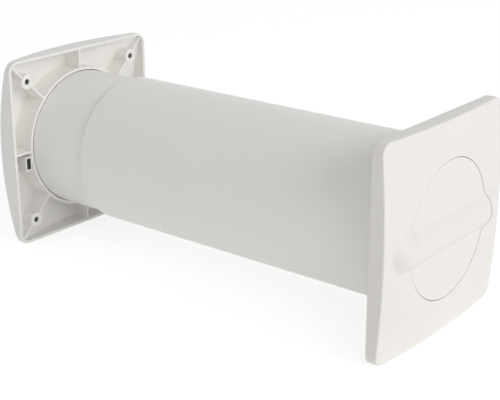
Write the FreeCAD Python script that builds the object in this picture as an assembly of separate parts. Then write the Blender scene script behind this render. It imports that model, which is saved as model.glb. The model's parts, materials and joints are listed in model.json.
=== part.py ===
import FreeCAD, Part
import math
import os

# Telescopic wall vent sleeve: a round duct in two lengths, a room cover with a closing flap on one
# end and a domed outside cover with a weather grille on the other. Millimetres. The duct lies along Y,
# the room is towards -Y, Z is up, and the origin is on the duct axis in the room side's wall face.
# A depth is a distance from a cover's own wall face, measured away from the wall.

# Duct
wall_depth = 300.0  # from wall face to wall face, with the duct pushed right together
duct_d = 100.0  # outside diameter of the inner tube
inner_tube_wall = 1.8
outer_tube_wall = 1.95
slide_gap = 0.25  # radial gap between the two tubes
inner_tube_show = 50.0  # length of inner tube left bare beside the outside cover
inner_tube_setback = 8.0  # from the room wall face to the inner tube's end
tube_chamfer = 0.5

# Both covers
cover_border = 18.0  # how far a cover reaches past the duct on each side
cover_corner_r = 8.0
cover_wall = 2.0
edge_round = 1.1
collar_wall = 2.0
collar_setback = 0.4  # collar end behind the rim, so that the rim meets the wall first
rib_wall = 1.5
rib_setback = 0.8
rib_count = 8  # ribs from a collar to the middles and corners of its cover

# Room cover
room_crown = 14.1  # depth of the face at its middle
room_dome_r = 620.0
room_collar_gap = 0.2
tube_seat_height = 1.8  # ledge behind the face that the outer tube stands on

# Ridge across the room cover and its flap, which hides the hinge
ridge_r = 14.8
ridge_rise = 4.1  # height over the middle of the face
ridge_overrun = 3.9  # from the edge of the port to the centre of each round end
ridge_blend = 5.0

# Closing flap and its hinge. The flap's edge and the port are parts of two balls about the middle of
# the hinge, so that the slit between them stays the same while the flap turns.
flap_swing_gap = 4.2  # between the flap and the inner tube's bore
slit = 0.4
flap_sink = 0.2  # flap's face behind the cover's
flap_lip = 4.2  # depth of the flap's turned edge
flap_lip_wall = 1.6
flap_rib_spacing = 30.0
hinge_sink = 3.6  # hinge axis behind the middle of the face
trunnion_r = 3.0
trunnion_gap = 0.07
trunnion_end_gap = 0.4
trunnion_boss_wall = 1.4
trunnion_boss_length = 8.0
bearing_wall = 3.0
bearing_tube_gap = 0.9  # between the bearing block and the outer tube's bore
port_rim_wall = 1.8
port_rim_depth = 6.0
stop_width = 2.0  # ledge behind the flap's upper half, which stops it when it shuts
stop_wall = 1.5
stop_gap = 0.3
stop_height = 18.0  # the ledge begins this far above the hinge

# Outside cover
outer_crown = 26.0
outer_dome_r = 212.0
outer_collar_gap = 0.45
crush_rib_gap = 0.1
crush_rib_count = 8
crush_rib_setback = 5.0
boss_inset = 16.0  # screw centres from the cover's sides
boss_d = 10.5
screw_hole_d = 4.2
screw_head_d = 8.4
screw_head_depth = 4.5
ledge_drop = 4.4  # from the face down to the ledge that carries the insect screen
ledge_wall = 2.0
ledge_width = 1.9

# Clip sockets in the outside cover, which the weather grille's hooks snap into
socket_width = 3.7
socket_height = 8.2
socket_wall = 1.0
socket_setback = 0.8
socket_drop = 8.5  # socket centre below the duct axis
hook_thickness = 1.6
hook_height = 6.8
hook_gap = 0.4
hook_barb = 0.8
hook_barb_length = 3.0

# Weather grille and insect screen
grille_border = 4.5  # flange beyond the clip sockets
grille_flange = 1.6
grille_lift = 0.15  # gap between the flange and the domed face
grille_edge_round = 0.8
skirt_wall = 1.8
skirt_gap = 0.3
blade_pitch = 10.6
blade_wall = 1.6
blade_slope = 42.0  # degrees below the horizontal, towards the outside
blade_screen_gap = 0.5
post_spacing = 32.0
post_wall = 2.0
post_depth = 3.0
screen_wall = 1.2
screen_border = 3.0
screen_slot_length = 17.0
screen_slot_height = 2.2
screen_post = 1.4  # between slots in a row
screen_bar = 1.4  # between rows of slots

# Modelling values, which change no piece's size
close = 1e-3  # sizes nearer to each other than this are the same
cut_overrun = 1.0  # how far a hollow or hole is cut past the wall face

# Sizes that follow from the ones above
inner_tube_r = duct_d / 2
inner_bore_r = inner_tube_r - inner_tube_wall
outer_bore_r = inner_tube_r + slide_gap
outer_tube_r = outer_bore_r + outer_tube_wall
cover_side = duct_d + 2 * cover_border
reach = 2 * cover_side  # further than any cover is deep
flap_r = inner_bore_r - flap_swing_gap
port_r = flap_r + slit
hinge_depth = room_crown - hinge_sink
ridge_depth = room_crown + ridge_rise - ridge_r
ridge_half = port_r + ridge_overrun
room_collar_r = outer_tube_r + room_collar_gap
outer_collar_r = inner_tube_r + outer_collar_gap
outer_collar_outside_r = outer_collar_r + collar_wall
screen_r = outer_collar_r - ledge_width
socket_x = outer_collar_outside_r + socket_width / 2 + socket_wall / 2
grille_r = socket_x + socket_width / 2 + grille_border
boss_place = cover_side / 2 - boss_inset


def vector(x, y, z):
    return FreeCAD.Vector(x, y, z)


def dome_depth(crown, dome_r, off_axis):
    return crown - dome_r + math.sqrt(dome_r**2 - off_axis**2)


room_tube_seat = (
    dome_depth(room_crown, room_dome_r, outer_tube_r) - cover_wall - tube_seat_height
)
screen_seat = dome_depth(outer_crown, outer_dome_r, outer_collar_r) - ledge_drop
outer_tube_seat = screen_seat - ledge_wall
screen_face = screen_seat + screen_wall


class CoverSide:
    """Places shapes on one end of the duct, by their depth from that end's wall face."""

    def __init__(self, wall_y, outward):
        self.wall_y = wall_y
        self.outward = outward

    def point(self, x, depth, z):
        return vector(x, self.wall_y + self.outward * depth, z)

    def rod(self, radius, start, end, x=0.0, z=0.0):
        along = vector(0, self.outward, 0)
        return Part.makeCylinder(radius, end - start, self.point(x, start, z), along)

    def ring(self, outer_r, inner_r, start, end, x=0.0, z=0.0):
        hole = self.rod(inner_r, start, end, x, z)
        return self.rod(outer_r, start, end, x, z).cut(hole)

    def block(self, x_range, depth_range, z_range):
        corner = self.point(x_range[0], depth_range[0], z_range[0])
        far = self.point(x_range[1], depth_range[1], z_range[1])
        low_y = min(corner.y, far.y)
        size = far - corner
        return Part.makeBox(size.x, abs(size.y), size.z, vector(corner.x, low_y, corner.z))

    def dome(self, crown, dome_r):
        return Part.makeSphere(dome_r, self.point(0, crown - dome_r, 0))

    def rounded_block(self, side, corner_r, start):
        half = side / 2
        block = self.block((-half, half), (start, reach), (-half, half))
        along = [e for e in block.Edges if e.BoundBox.YLength > e.Length - close]
        return block.makeFillet(corner_r, along)

    def domed_block(self, inset, crown, dome_r, start):
        block = self.rounded_block(cover_side - 2 * inset, cover_corner_r - inset, start)
        return block.common(self.dome(crown - inset, dome_r - inset))

    def extrude_along_x(self, outline, x_range):
        points = [self.point(x_range[0], depth, z) for depth, z in outline]
        face = Part.Face(Part.makePolygon(points + points[:1]))
        return face.extrude(vector(x_range[1] - x_range[0], 0, 0))

    def extrude_along_z(self, outline, z_range):
        points = [self.point(x, depth, z_range[0]) for x, depth in outline]
        face = Part.Face(Part.makePolygon(points + points[:1]))
        return face.extrude(vector(0, 0, z_range[1] - z_range[0]))


room = CoverSide(0.0, -1)
outside = CoverSide(wall_depth, 1)


def join(shapes):
    return shapes[0].fuse(shapes[1:])


def turned(shape, degrees):
    copy = shape.copy()
    copy.rotate(vector(0, 0, 0), vector(0, 1, 0), degrees)
    return copy


def mirrored(shape):
    return shape.mirror(vector(0, 0, 0), vector(1, 0, 0))


def one_solid(shape):
    tidy = shape.removeSplitter()
    return tidy.Solids[0] if len(tidy.Solids) == 1 else tidy


def rounded_face_edge(block, dome_r):
    def is_face(face):
        surface = face.Surface
        return isinstance(surface, Part.Sphere) and abs(surface.Radius - dome_r) < close

    edges = [e for face in block.Faces if is_face(face) for e in face.OuterWire.Edges]
    return block.makeFillet(edge_round, edges)


def ridge(inset):
    """Round-ended ridge across the room cover, cut off at the wall face."""
    radius = ridge_r - inset
    left = room.point(-ridge_half, ridge_depth, 0)
    right = room.point(ridge_half, ridge_depth, 0)
    bar = Part.makeCylinder(radius, 2 * ridge_half, left, vector(1, 0, 0))
    whole = join([bar, Part.makeSphere(radius, left), Part.makeSphere(radius, right)])
    half = cover_side / 2
    front = room.block((-half, half), (0, reach), (-half, half))
    return whole.removeSplitter().common(front)


def blended_ridge(face_block):
    """The domed block with the ridge on it, and a soft hollow where they meet."""
    whole = face_block.fuse(ridge(0)).removeSplitter()
    centre = room.point(0, room_crown - room_dome_r, 0)

    def is_foot(edge):
        middle = edge.valueAt((edge.FirstParameter + edge.LastParameter) / 2)
        along = max(-ridge_half, min(ridge_half, middle.x))
        off_ridge = middle.distanceToPoint(room.point(along, ridge_depth, 0))
        off_dome = middle.distanceToPoint(centre)
        return abs(off_ridge - ridge_r) < close and abs(off_dome - room_dome_r) < close

    return whole.makeFillet(ridge_blend, [e for e in whole.Edges if is_foot(e)])


def room_face():
    """The room cover's outer form, as a solid, and its hollow skin with the flap still joined."""
    block = room.domed_block(0, room_crown, room_dome_r, 0)
    outer = blended_ridge(rounded_face_edge(block, room_dome_r))
    hollow = room.domed_block(cover_wall, room_crown, room_dome_r, -cut_overrun)
    hollow = hollow.fuse(ridge(cover_wall))
    return outer, outer.cut(hollow)


def wall_ribs(side, start_r):
    """Ribs from the collar to the middles and corners of the cover's sides."""
    long_rib = (start_r, cover_side / math.sqrt(2))
    depths = (rib_setback, reach)
    rib = side.block(long_rib, depths, (-rib_wall / 2, rib_wall / 2))
    return [turned(rib, 360 * step / rib_count) for step in range(rib_count)]


def swing_ball(radius):
    return Part.makeSphere(radius, room.point(0, hinge_depth, 0), vector(0, 1, 0))


def room_cover(outer, skin):
    collar_outside_r = room_collar_r + collar_wall
    bearing_end = outer_bore_r - bearing_tube_gap
    bearing_half = trunnion_r + bearing_wall
    stop_top = dome_depth(room_crown, room_dome_r, flap_r) - flap_lip - stop_gap
    collar = room.ring(collar_outside_r, room_collar_r, collar_setback, reach)
    seat = room.ring(collar_outside_r - collar_wall / 2, outer_bore_r, room_tube_seat, reach)
    port = swing_ball(port_r)
    rim = room.rod(port_r + port_rim_wall, port_rim_depth, reach).cut(port)
    bearing = room.block(
        (port_r - bearing_half, bearing_end),
        (hinge_depth - bearing_half, reach),
        (-bearing_half, bearing_half),
    ).cut(port)
    stop = room.ring(port_r + port_rim_wall / 2, flap_r - stop_width, stop_top - stop_wall, stop_top)
    upper = room.block((-reach, reach), (0, reach), (stop_height, reach))
    inside = join(
        [collar, seat, rim, bearing, mirrored(bearing), stop.common(upper)]
        + wall_ribs(room, collar_outside_r - collar_wall / 2)
    ).common(outer)
    bore = Part.makeCylinder(
        trunnion_r + trunnion_gap,
        2 * bearing_end,
        room.point(-bearing_end, hinge_depth, 0),
        vector(1, 0, 0),
    )
    # copied, since faces can only be merged across seams that no other shape shares
    return one_solid(skin.cut(port).fuse(inside).cut(bore).copy())


def closing_flap(outer, skin):
    sink = vector(0, -room.outward * flap_sink, 0)
    ball = swing_ball(flap_r)
    lip_end = dome_depth(room_crown, room_dome_r, flap_r) - flap_lip
    lip = room.ring(flap_r, flap_r - flap_lip_wall, lip_end, reach)
    boss = Part.makeCylinder(
        trunnion_r + trunnion_boss_wall,
        trunnion_boss_length,
        room.point(flap_r - trunnion_boss_length, hinge_depth, 0),
        vector(1, 0, 0),
    )
    rib_x = (flap_rib_spacing - rib_wall) / 2
    rib = room.block((rib_x, rib_x + rib_wall), (lip_end, reach), (-flap_r, flap_r))
    inside = join([lip, boss, mirrored(boss), rib, mirrored(rib)])
    plate = skin.translated(sink).fuse(inside.common(outer.translated(sink))).common(ball)
    trunnion_end = outer_bore_r - bearing_tube_gap - trunnion_end_gap
    trunnions = Part.makeCylinder(
        trunnion_r,
        trunnion_end - flap_r + trunnion_boss_length,
        room.point(flap_r - trunnion_boss_length, hinge_depth, 0),
        vector(1, 0, 0),
    )
    return one_solid(plate.fuse([trunnions, mirrored(trunnions)]))


def tube(outer_r, bore_r, start_y, end_y):
    profile = Part.makePolygon(
        [
            vector(bore_r, start_y, 0),
            vector(outer_r - tube_chamfer, start_y, 0),
            vector(outer_r, start_y + tube_chamfer, 0),
            vector(outer_r, end_y - tube_chamfer, 0),
            vector(outer_r - tube_chamfer, end_y, 0),
            vector(bore_r, end_y, 0),
            vector(bore_r, start_y, 0),
        ]
    )
    return Part.Face(profile).revolve(vector(0, 0, 0), vector(0, 1, 0), 360)


def clip_sockets():
    """Walls, hollows and face slots of the two clip sockets beside the collar."""
    depths = (socket_setback, reach)

    def box(width, height):
        x_range = (socket_x - width / 2, socket_x + width / 2)
        z_range = (-socket_drop - height / 2, -socket_drop + height / 2)
        return outside.block(x_range, depths, z_range)

    wall = box(socket_width + 2 * socket_wall, socket_height + 2 * socket_wall)
    hollow = box(socket_width, socket_height)
    slot = box(hook_thickness + 2 * hook_gap, hook_height + 2 * hook_gap)
    return [[shape, mirrored(shape)] for shape in (wall, hollow, slot)]


def outer_cover():
    block = outside.domed_block(0, outer_crown, outer_dome_r, 0)
    outer = rounded_face_edge(block, outer_dome_r)
    hollow = outside.domed_block(cover_wall, outer_crown, outer_dome_r, -cut_overrun)
    collar = outside.ring(outer_collar_outside_r, outer_collar_r, collar_setback, reach)
    ledge = outside.rod(outer_collar_outside_r - collar_wall / 2, outer_tube_seat, reach)
    crush_r = outer_collar_gap - crush_rib_gap
    crush = outside.rod(crush_r, crush_rib_setback, reach, outer_collar_r, 0)
    crush_ribs = [
        turned(crush, 360 * (step + 0.5) / crush_rib_count) for step in range(crush_rib_count)
    ]
    places = [(x, z) for x in (-boss_place, boss_place) for z in (-boss_place, boss_place)]
    bosses = [outside.rod(boss_d / 2, 0, reach, x, z) for x, z in places]
    socket_walls, socket_hollows, slots = clip_sockets()
    ribs = wall_ribs(outside, outer_collar_outside_r - collar_wall / 2)
    inside = join([collar, ledge] + crush_ribs + bosses + socket_walls + ribs).common(outer)

    head_seat = dome_depth(outer_crown, outer_dome_r, boss_place * math.sqrt(2)) - screw_head_depth
    screw_holes = [outside.rod(screw_hole_d / 2, -cut_overrun, reach, x, z) for x, z in places]
    head_holes = [outside.rod(screw_head_d / 2, head_seat, reach, x, z) for x, z in places]
    under_face = outside.dome(outer_crown - cover_wall, outer_dome_r - cover_wall)
    clip_hollows = [shape.common(under_face) for shape in socket_hollows]
    way_through = [
        outside.rod(screen_r, 0, reach),
        outside.rod(outer_collar_r, screen_seat, reach),
    ]
    cover = outer.cut(hollow).fuse(inside)
    cuts = way_through + screw_holes + head_holes + clip_hollows + slots
    return one_solid(cover.cut(join(cuts)))


def grille_hook():
    """Tongue through a face slot, with a barb that catches behind the face."""
    inner_x = socket_x - hook_thickness / 2
    outer_x = socket_x + hook_thickness / 2
    low = socket_drop + hook_height / 2
    under_crown = outer_crown - cover_wall
    catch = dome_depth(under_crown, outer_dome_r - cover_wall, math.hypot(outer_x + hook_barb, low))
    catch -= grille_lift
    root = outer_crown + grille_flange
    outline = [
        (inner_x, root),
        (outer_x, root),
        (outer_x, catch),
        (outer_x + hook_barb, catch),
        (outer_x, catch - hook_barb_length),
        (inner_x, catch - hook_barb_length),
    ]
    return outside.extrude_along_z(outline, (-low, hook_height - low))


def louvre_blades(bore_r):
    """Sloping blades that shed rain outwards, their front edges following the dome."""
    back = screen_face + blade_screen_gap
    front = outer_crown
    drop = (front - back) * math.tan(math.radians(blade_slope))
    rise = blade_wall / math.cos(math.radians(blade_slope))
    count = int((2 * bore_r + drop) / blade_pitch)
    blades = []
    for step in range(count):
        middle = (step - (count - 1) / 2) * blade_pitch
        high = middle + drop / 2
        low = middle - drop / 2
        outline = [(back, high), (front, low), (front, low + rise), (back, high + rise)]
        blades.append(outside.extrude_along_x(outline, (-bore_r, bore_r)))
    return blades


def weather_grille():
    skirt_r = outer_collar_r - skirt_gap
    bore_r = skirt_r - skirt_wall
    top_crown = outer_crown + grille_lift + grille_flange
    top_dome_r = outer_dome_r + grille_lift + grille_flange
    top = outside.dome(top_crown, top_dome_r)
    seat = outside.dome(outer_crown + grille_lift, outer_dome_r + grille_lift)
    flange = outside.ring(grille_r, bore_r, 0, reach).common(top)
    domed = [face for face in flange.Faces if isinstance(face.Surface, Part.Sphere)]
    circles = [e for face in domed for e in face.Edges if isinstance(e.Curve, Part.Circle)]
    outer_rim = [e for e in circles if abs(e.Curve.Radius - grille_r) < close]
    flange = flange.makeFillet(grille_edge_round, outer_rim).cut(seat)
    skirt = outside.ring(skirt_r, bore_r, screen_face, reach)
    post_x = (post_spacing - post_wall) / 2
    back = screen_face + blade_screen_gap
    post = outside.block((post_x, post_x + post_wall), (back, back + post_depth), (-bore_r, bore_r))
    opening = outside.rod(bore_r + skirt_wall / 2, 0, reach)
    under_top = outside.dome(outer_crown, outer_dome_r)
    bars = join(louvre_blades(bore_r + skirt_wall) + [post, mirrored(post)])
    bars = bars.common(opening).common(under_top)
    hooks = [grille_hook(), mirrored(grille_hook())]
    hooks = [hook.common(top) for hook in hooks]
    return one_solid(flange.fuse([skirt.common(top), bars] + hooks))


def insect_screen():
    edge_r = outer_collar_r - skirt_gap
    disc = outside.rod(edge_r, screen_seat, screen_face)
    clear_r = edge_r - screen_border
    across = screen_slot_length + screen_post
    upright = screen_slot_height + screen_bar
    slots = []
    for row in range(-int(clear_r / upright), int(clear_r / upright) + 1):
        for column in range(-int(clear_r / across), int(clear_r / across) + 1):
            x = column * across
            z = row * upright
            if math.hypot(x, z) < clear_r - screen_slot_height:
                x_range = (x - screen_slot_length / 2, x + screen_slot_length / 2)
                z_range = (z - screen_slot_height / 2, z + screen_slot_height / 2)
                slots.append(outside.block(x_range, (screen_seat, screen_face), z_range))
    open_part = outside.rod(clear_r, screen_seat, screen_face)
    return one_solid(disc.cut(Part.makeCompound(slots).common(open_part)))


outer_form, face_skin = room_face()
pieces = {
    "room_cover": room_cover(outer_form, face_skin),
    "closing_flap": closing_flap(outer_form, face_skin),
    "outer_tube": tube(outer_tube_r, outer_bore_r, -room_tube_seat, wall_depth - inner_tube_show),
    "inner_tube": tube(
        inner_tube_r, inner_bore_r, inner_tube_setback, wall_depth + outer_tube_seat
    ),
    "outer_cover": outer_cover(),
    "weather_grille": weather_grille(),
    "insect_screen": insect_screen(),
}

os.makedirs("parts", exist_ok=True)
for name, shape in pieces.items():
    print(name, "solids", len(shape.Solids), "volume", round(shape.Volume), "valid", shape.isValid())
    shape.exportStep(f"parts/{name}.step")
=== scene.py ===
import bpy
import bmesh
import json
import math
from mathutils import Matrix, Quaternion, Vector


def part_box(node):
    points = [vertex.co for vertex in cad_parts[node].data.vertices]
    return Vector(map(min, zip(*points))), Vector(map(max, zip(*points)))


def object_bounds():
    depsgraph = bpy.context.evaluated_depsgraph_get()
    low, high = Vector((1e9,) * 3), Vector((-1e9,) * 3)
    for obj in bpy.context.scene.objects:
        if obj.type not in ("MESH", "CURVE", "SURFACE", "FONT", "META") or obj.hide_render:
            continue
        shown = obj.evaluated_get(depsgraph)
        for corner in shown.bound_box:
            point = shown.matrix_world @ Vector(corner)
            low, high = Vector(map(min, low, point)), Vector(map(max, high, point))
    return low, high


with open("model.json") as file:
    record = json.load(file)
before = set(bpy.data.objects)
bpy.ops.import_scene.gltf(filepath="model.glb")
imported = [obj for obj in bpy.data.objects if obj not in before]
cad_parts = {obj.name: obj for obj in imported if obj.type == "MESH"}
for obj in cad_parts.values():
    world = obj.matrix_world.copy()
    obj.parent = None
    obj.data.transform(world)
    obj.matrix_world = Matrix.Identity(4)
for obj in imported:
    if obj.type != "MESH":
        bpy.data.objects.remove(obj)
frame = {"nodes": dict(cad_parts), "record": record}
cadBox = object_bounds()
print("frame loaded:", ", ".join(sorted(frame["nodes"])))

millimetre = 0.001
mounts = {mount["name"]: mount for mount in frame["record"]["mounts"]}
outsideWall = mounts["outside_wall_face"]["pos_m"][1]      # along the duct, where the outer cover's rim is
screws = mounts["outside_wall_screws"]["dims"]


class Wire:
    # a socket of a node tree: sums on it add Math nodes, and node() adds any other kind
    def __init__(self, tree, socket=None):
        self.tree = tree
        self.socket = socket

    def node(self, kind, settings=None, sockets=None, out=0):
        made = self.tree.nodes.new(kind)
        for name, value in (settings or {}).items():
            setattr(made, name, value)
        for name, value in (sockets or {}).items():
            if isinstance(value, Wire):
                self.tree.links.new(value.socket, made.inputs[name])
            else:
                made.inputs[name].default_value = value
        return Wire(self.tree, made.outputs[out] if made.outputs else None)

    def math(self, operation, first, second=0.0):
        return self.node("ShaderNodeMath", {"operation": operation}, {0: first, 1: second})

    def __add__(self, other):
        return self.math("ADD", self, other)

    def __radd__(self, other):
        return self.math("ADD", other, self)

    def __sub__(self, other):
        return self.math("SUBTRACT", self, other)

    def __rsub__(self, other):
        return self.math("SUBTRACT", other, self)

    def __mul__(self, other):
        return self.math("MULTIPLY", self, other)

    def __rmul__(self, other):
        return self.math("MULTIPLY", other, self)


def emptyMaterial(name):
    material = bpy.data.materials.new(name)
    material.use_nodes = True
    material.node_tree.nodes.clear()
    return material, Wire(material.node_tree)


noiseMiddle = 0.5              # what every noise pattern swings about


def noise(wire, place, pattern):
    perMetre, detail, rough = pattern
    return wire.node(
        "ShaderNodeTexNoise",
        sockets={"Vector": place, "Scale": perMetre, "Detail": detail, "Roughness": rough},
    )


def axesOf(wire, place):
    return [wire.node("ShaderNodeSeparateXYZ", sockets={"Vector": place}, out=axis) for axis in "XYZ"]


def rampTo(wire, depth, fade):
    # 0 up to a mouth, then rising to 1 at the fade's depth behind it
    share = depth * (1.0 / fade)
    return wire.math("MINIMUM", wire.math("MAXIMUM", share, 0.0), 1.0)


def blendColours(wire, share, first, second):
    return wire.node("ShaderNodeMix", {"data_type": "RGBA"}, {0: share, 6: first, 7: second}, out=2)


def driftingRoughness(settings, *patterns):
    roughness = settings["roughness"]
    for pattern in patterns:
        roughness = roughness + (pattern - noiseMiddle) * settings["roughnessDrift"]
    return roughness


def plasticShader(wire, colour, roughness, height, settings):
    # bump in metres over edges that are softened as a mould softens them
    softened = wire.node(
        "ShaderNodeBevel", {"samples": settings["edgeSamples"]}, {"Radius": settings["edgeSoftness"]}
    )
    relief = wire.node(
        "ShaderNodeBump",
        sockets={"Strength": 1.0, "Distance": settings["grainDepth"], "Height": height, "Normal": softened},
    )
    surface = wire.node(
        "ShaderNodeBsdfPrincipled",
        sockets={
            "Base Color": colour,
            "Roughness": roughness,
            "IOR": settings["ior"],
            "Specular IOR Level": settings["specular"],
            "Normal": relief,
        },
    )
    wire.node("ShaderNodeOutputMaterial", sockets={"Surface": surface})


# painted shade: one dark colour painted down the walls of the outer cover's screw holes and clip sockets,
# and on the inner tube in the narrow gap inside its collar
paintedShade = {
    "dark": (0.20, 0.196, 0.188, 1.0),
    "setback": 0.0002,         # behind the outer cover's rim, where the painted shade in the holes starts
    "fade": 0.0016,            # depth at which the painted shade in a hole is at its darkest
    "screwMargin": 0.00006,    # past a screw hole's radius, to take in its wall
    "clipPlace": (0.05480, -0.0085),
    "clipHalf": (0.00192, 0.00418),
    "collarSetback": 0.0004,   # behind the rim, where the inner tube goes into its collar
    "collarFade": 0.0004,
    "tubeMargin": 0.0005,      # in from the tube's outside, so that its bore is left out
}


def collarShade(wire, x, y, z):
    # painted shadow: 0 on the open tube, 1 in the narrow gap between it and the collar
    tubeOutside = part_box("inner_tube")[1].x - paintedShade["tubeMargin"]
    onOutside = wire.math("GREATER_THAN", x * x + z * z, tubeOutside ** 2)
    collarMouth = outsideWall + paintedShade["collarSetback"]
    return onOutside * rampTo(wire, y - collarMouth, paintedShade["collarFade"])


def holeShade(wire, place):
    # painted shade: 0 on the faces, up to 1 down the walls of the screw holes and clip sockets, where real
    # shade falls
    x, y, z = axesOf(wire, place)
    across = wire.math("ABSOLUTE", x)
    toScrewX = across - screws["spacing_x_mm"] / 2 * millimetre
    toScrewZ = wire.math("ABSOLUTE", z) - screws["spacing_y_mm"] / 2 * millimetre
    screwRadius = screws["hole_r_mm"] * millimetre + paintedShade["screwMargin"]
    inScrew = wire.math("LESS_THAN", toScrewX * toScrewX + toScrewZ * toScrewZ, screwRadius ** 2)
    clipX, clipZ = paintedShade["clipPlace"]
    halfX, halfZ = paintedShade["clipHalf"]
    inClip = wire.math("LESS_THAN", wire.math("ABSOLUTE", across - clipX), halfX)
    inClip = inClip * wire.math("LESS_THAN", wire.math("ABSOLUTE", z - clipZ), halfZ)
    depth = rampTo(wire, y - (outsideWall + paintedShade["setback"]), paintedShade["fade"])
    return wire.math("MAXIMUM", inScrew, inClip) * depth


mouldedIvory = {
    "roomTones": ((0.882, 0.860, 0.822, 1.0), (0.866, 0.842, 0.800, 1.0)),
    # outsideTones is the room cover's ivory made lighter: partly the outer cover's own whiter plastic,
    # partly painted light that lifts its hollow, shaded inside
    "outsideTones": ((0.955, 0.942, 0.915, 1.0), (0.942, 0.927, 0.897, 1.0)),
    "flow": (16.0, 3.0, 0.5),      # slow drift of tone, as the melt ran: per metre, detail, roughness
    "specks": (900.0, 2.0, 0.6),
    "flowShare": 0.75,             # of the tone, where the specks have the rest
    "grain": (2400.0, 2.0, 0.55),  # spark-eroded mould grain, about 0.4 mm
    "grainDepth": 0.000022,
    "roughness": 0.46,
    "roughnessDrift": 0.10,
    "edgeSoftness": 0.00035,
    "edgeSamples": 6,
    "ior": 1.49,
    "specular": 0.45,
}


def makeMouldedIvory(name, tones, drift, holes=False):
    material, wire = emptyMaterial(name)
    place = wire.node("ShaderNodeTexCoord", out="Object")
    shifted = wire.node("ShaderNodeVectorMath", {"operation": "ADD"}, {0: place, 1: drift})
    flow = noise(wire, shifted, mouldedIvory["flow"])
    specks = noise(wire, shifted, mouldedIvory["specks"])
    grain = noise(wire, shifted, mouldedIvory["grain"])
    share = flow * mouldedIvory["flowShare"] + specks * (1 - mouldedIvory["flowShare"])
    colour = blendColours(wire, share, *mouldedIvory[tones])
    # painted shade down the screw holes and clip sockets
    if holes:
        colour = blendColours(wire, holeShade(wire, place), colour, paintedShade["dark"])
    roughness = driftingRoughness(mouldedIvory, flow, specks)
    plasticShader(wire, colour, roughness, grain, mouldedIvory)
    return material


extrudedWhite = {
    "white": (0.960, 0.949, 0.917, 1.0),
    "deeper": (0.948, 0.935, 0.901, 1.0),
    "linesPerTurn": 46.0,          # faint die lines that run the length of a tube
    "linesPerMetre": 0.9,
    "lines": (1.0, 4.0, 0.62),     # per line, detail, roughness
    "cloud": (22.0, 3.0, 0.5),     # per metre, detail, roughness
    "lineShare": 0.6,              # of the tone, where the clouds have the rest
    "grain": (1500.0, 2.0, 0.5),
    "grainShare": 0.6,             # of the relief, where the lines have the rest
    "grainDepth": 0.000012,
    "roughness": 0.40,
    "roughnessDrift": 0.09,
    "edgeSoftness": 0.0003,
    "edgeSamples": 6,
    "ior": 1.53,
    "specular": 0.5,
}


def dieLines(wire, x, y, z, drift):
    # a circle of lookups round the duct, stretched out along it, so that no seam shows
    across = wire.node("ShaderNodeCombineXYZ", sockets={"X": x, "Y": 0.0, "Z": z})
    heading = wire.node("ShaderNodeVectorMath", {"operation": "NORMALIZE"}, {0: across})
    turn = (extrudedWhite["linesPerTurn"] / math.tau,) * 3
    spread = wire.node("ShaderNodeVectorMath", {"operation": "MULTIPLY"}, {0: heading, 1: turn})
    along = wire.node("ShaderNodeCombineXYZ", sockets={"Y": y * extrudedWhite["linesPerMetre"] + drift})
    place = wire.node("ShaderNodeVectorMath", {"operation": "ADD"}, {0: spread, 1: along})
    return noise(wire, place, extrudedWhite["lines"])


def makeExtrudedWhite(name, drift, paintCollarShade=False):
    material, wire = emptyMaterial(name)
    place = wire.node("ShaderNodeTexCoord", out="Object")
    x, y, z = axesOf(wire, place)
    lines = dieLines(wire, x, y, z, drift)
    cloud = noise(wire, place, extrudedWhite["cloud"])
    grain = noise(wire, place, extrudedWhite["grain"])
    share = lines * extrudedWhite["lineShare"] + cloud * (1 - extrudedWhite["lineShare"])
    colour = blendColours(wire, share, extrudedWhite["white"], extrudedWhite["deeper"])
    # painted shadow on the tube in the narrow gap inside the collar
    if paintCollarShade:
        colour = blendColours(wire, collarShade(wire, x, y, z), colour, paintedShade["dark"])
    roughness = driftingRoughness(extrudedWhite, lines, cloud)
    height = grain * extrudedWhite["grainShare"] + lines * (1 - extrudedWhite["grainShare"])
    plasticShader(wire, colour, roughness, height, extrudedWhite)
    return material


screenGrey = {
    "light": (0.56, 0.565, 0.56, 1.0),
    "dark": (0.42, 0.425, 0.425, 1.0),
    "tone": (420.0, 3.0, 0.5),     # per metre, detail, roughness
    "grain": (5200.0, 2.0, 0.5),
    "grainDepth": 0.00001,
    "roughness": 0.48,
    "roughnessDrift": 0.2,
    "edgeSoftness": 0.0001,
    "edgeSamples": 4,
    "ior": 1.5,
    "specular": 0.5,
}


def makeScreenGrey(name):
    material, wire = emptyMaterial(name)
    place = wire.node("ShaderNodeTexCoord", out="Object")
    tone = noise(wire, place, screenGrey["tone"])
    grain = noise(wire, place, screenGrey["grain"])
    colour = blendColours(wire, tone, screenGrey["light"], screenGrey["dark"])
    plasticShader(wire, colour, driftingRoughness(screenGrey, tone), grain, screenGrey)
    return material


dressing = {
    "weld": 1e-6,              # metres between points that are the same point
    "sharp": math.radians(30),
    "finish": {                # the vectors and numbers shift a pattern, so that no two pieces match
        "room_cover": makeMouldedIvory("roomCoverIvory", "roomTones", (0.0, 0.0, 0.0)),
        "closing_flap": makeMouldedIvory("flapIvory", "roomTones", (0.31, 0.0, 0.17)),
        # holes=True paints shade down the outer cover's screw holes and clip sockets
        "outer_cover": makeMouldedIvory("outerCoverIvory", "outsideTones", (0.0, 0.23, 0.41), holes=True),
        "weather_grille": makeMouldedIvory("grilleIvory", "outsideTones", (0.53, 0.11, 0.0)),
        "outer_tube": makeExtrudedWhite("outerTubeWhite", 0.0),
        # paints shadow on the tube where it runs inside the collar
        "inner_tube": makeExtrudedWhite("innerTubeWhite", 3.7, paintCollarShade=True),
        "insect_screen": makeScreenGrey("screenGrey"),
    },
}


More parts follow.
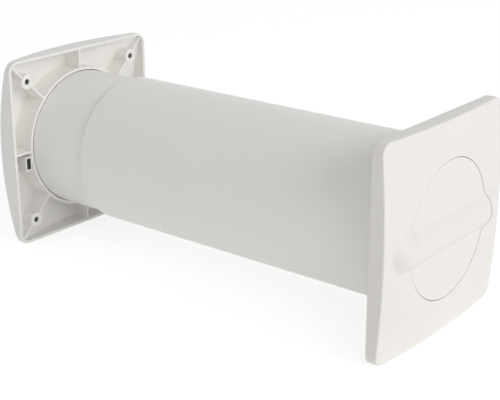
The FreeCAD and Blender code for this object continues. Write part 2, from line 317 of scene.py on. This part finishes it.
def dressNode(name):
    # smooth faces between sharp edges, shaded afresh in place of the frame's own normals
    node = frame["nodes"][name]
    mesh = node.data
    mesh.polygons.foreach_set("use_smooth", [True] * len(mesh.polygons))
    if "custom_normal" in mesh.attributes:
        mesh.attributes.remove(mesh.attributes["custom_normal"])
    mesh.materials.clear()
    mesh.materials.append(dressing["finish"][name])
    weld = node.modifiers.new("weld", "WELD")
    weld.merge_threshold = dressing["weld"]
    split = node.modifiers.new("sharpEdges", "EDGE_SPLIT")
    split.split_angle = dressing["sharp"]
    split.use_edge_sharp = False
    even = node.modifiers.new("evenShading", "WEIGHTED_NORMAL")
    even.mode = "FACE_AREA"
    even.keep_sharp = True


for nodeName in dressing["finish"]:
    dressNode(nodeName)
print("finishes on", len(dressing["finish"]), "nodes")


shownWhite = 1.0               # strength at which a backdrop shows as white

floorSettings = {
    "size": 12.0,
    "pale": (0.92, 0.92, 0.92, 1.0),       # what the object's underside sees
    "lift": 0.11,                          # added to it, as from a table that is lit itself
    "seen": (0.55, 0.55, 0.55, 1.0),       # share of the light that the view takes from the floor itself
    "glow": 0.69,                          # added so that the bare floor is white
    "nearEdge": 0.55,                      # from here outwards the floor passes into the white backdrop
    "fadeWidth": 0.9,
}


def seenRay(wire):
    # 1 for what the camera sees, straight, mirrored or through something clear
    kinds = ("Is Camera Ray", "Is Glossy Ray", "Is Transmission Ray")
    camera, glossy, through = (wire.node("ShaderNodeLightPath", out=kind) for kind in kinds)
    return camera + glossy + through


def makeFloorWhite(name):
    material, wire = emptyMaterial(name)
    table = wire.node("ShaderNodeBsdfDiffuse", sockets={"Color": floorSettings["pale"]})
    lift = wire.node("ShaderNodeEmission", sockets={"Strength": floorSettings["lift"]})
    bounced = wire.node("ShaderNodeAddShader", sockets={0: table, 1: lift})
    shaded = wire.node("ShaderNodeBsdfDiffuse", sockets={"Color": floorSettings["seen"]})
    glow = wire.node("ShaderNodeEmission", sockets={"Strength": floorSettings["glow"]})
    near = wire.node("ShaderNodeAddShader", sockets={0: shaded, 1: glow})
    place = wire.node("ShaderNodeTexCoord", out="Object")
    away = wire.node("ShaderNodeVectorMath", {"operation": "LENGTH"}, {0: place}, out="Value")
    share = rampTo(wire, away - floorSettings["nearEdge"], floorSettings["fadeWidth"])
    backdrop = wire.node("ShaderNodeEmission", sockets={"Strength": shownWhite})
    seen = wire.node("ShaderNodeMixShader", sockets={0: share, 1: near, 2: backdrop})
    surface = wire.node("ShaderNodeMixShader", sockets={0: seenRay(wire), 1: bounced, 2: seen})
    wire.node("ShaderNodeOutputMaterial", sockets={"Surface": surface})
    return material


def makeFloor():
    mesh = bpy.data.meshes.new("floor")
    shape = bmesh.new()
    bmesh.ops.create_grid(shape, x_segments=1, y_segments=1, size=floorSettings["size"] / 2)
    shape.to_mesh(mesh)
    shape.free()
    mesh.materials.append(makeFloorWhite("floorWhite"))
    floor = bpy.data.objects.new("floor", mesh)
    floor.location.z = cadBox[0].z
    bpy.context.scene.collection.objects.link(floor)


makeFloor()
print("floor at", round(cadBox[0].z, 4))


studio = {
    "white": (1.0, 1.0, 1.0, 1.0),
    "ambient": 0.465,
    "lamps": {                 # place, what it points at, width, height, watts
        "frontLamp": ((0.3, -1.9, 1.2), (0.0, 0.0, 0.0), 0.9, 0.9, 12.6),
        "leftLamp": ((-0.7, -1.9, 0.6), (-0.04, 0.3, 0.0), 0.9, 0.9, 7.6),
        "topLamp": ((-0.5, 0.3, 1.8), (0.0, 0.25, 0.0), 1.6, 1.6, 0.8),
    },
}


def makeWorld():
    world = bpy.data.worlds.new("studioWhite")
    world.use_nodes = True
    world.node_tree.nodes.clear()
    wire = Wire(world.node_tree)
    lit, white = (
        wire.node("ShaderNodeBackground", sockets={"Color": studio["white"], "Strength": strength})
        for strength in (studio["ambient"], shownWhite)
    )
    surface = wire.node("ShaderNodeMixShader", sockets={0: seenRay(wire), 1: lit, 2: white})
    wire.node("ShaderNodeOutputWorld", sockets={"Surface": surface})
    bpy.context.scene.world = world


def makeLamp(name, place, target, width, height, watts):
    lamp = bpy.data.lights.new(name, "AREA")
    lamp.shape = "RECTANGLE"
    lamp.size = width
    lamp.size_y = height
    lamp.energy = watts
    holder = bpy.data.objects.new(name, lamp)
    holder.location = place
    holder.rotation_mode = "QUATERNION"
    holder.rotation_quaternion = (Vector(target) - Vector(place)).to_track_quat("-Z", "Y")
    bpy.context.scene.collection.objects.link(holder)


makeWorld()
for lampName, lampFacts in studio["lamps"].items():
    makeLamp(lampName, *lampFacts)
print("lamps:", ", ".join(studio["lamps"]))


cameraSettings = {
    "azimuth": -51.20,         # degrees, 0 looks along +Y
    "elevation": 19.89,
    "roll": -0.17,
    "distance": 0.7581,
    "target": (-0.0337, 0.1130, 0.0),
    "lens": 85.30,
    "clip": (0.01, 50.0),      # nearest and farthest that it sees
}


def makeCamera():
    side = math.radians(cameraSettings["azimuth"])
    lift = math.radians(cameraSettings["elevation"])
    back = Vector(
        (math.sin(side) * math.cos(lift), -math.cos(side) * math.cos(lift), math.sin(lift))
    )
    data = bpy.data.cameras.new("photoCamera")
    data.lens = cameraSettings["lens"]
    data.clip_start, data.clip_end = cameraSettings["clip"]
    camera = bpy.data.objects.new("photoCamera", data)
    camera.location = Vector(cameraSettings["target"]) + back * cameraSettings["distance"]
    camera.rotation_mode = "QUATERNION"
    roll = Quaternion((0.0, 0.0, 1.0), math.radians(cameraSettings["roll"]))
    camera.rotation_quaternion = (-back).to_track_quat("-Z", "Y") @ roll
    bpy.context.scene.collection.objects.link(camera)
    bpy.context.scene.camera = camera


makeCamera()
bpy.context.scene.view_settings.view_transform = "Standard"
print("camera placed")
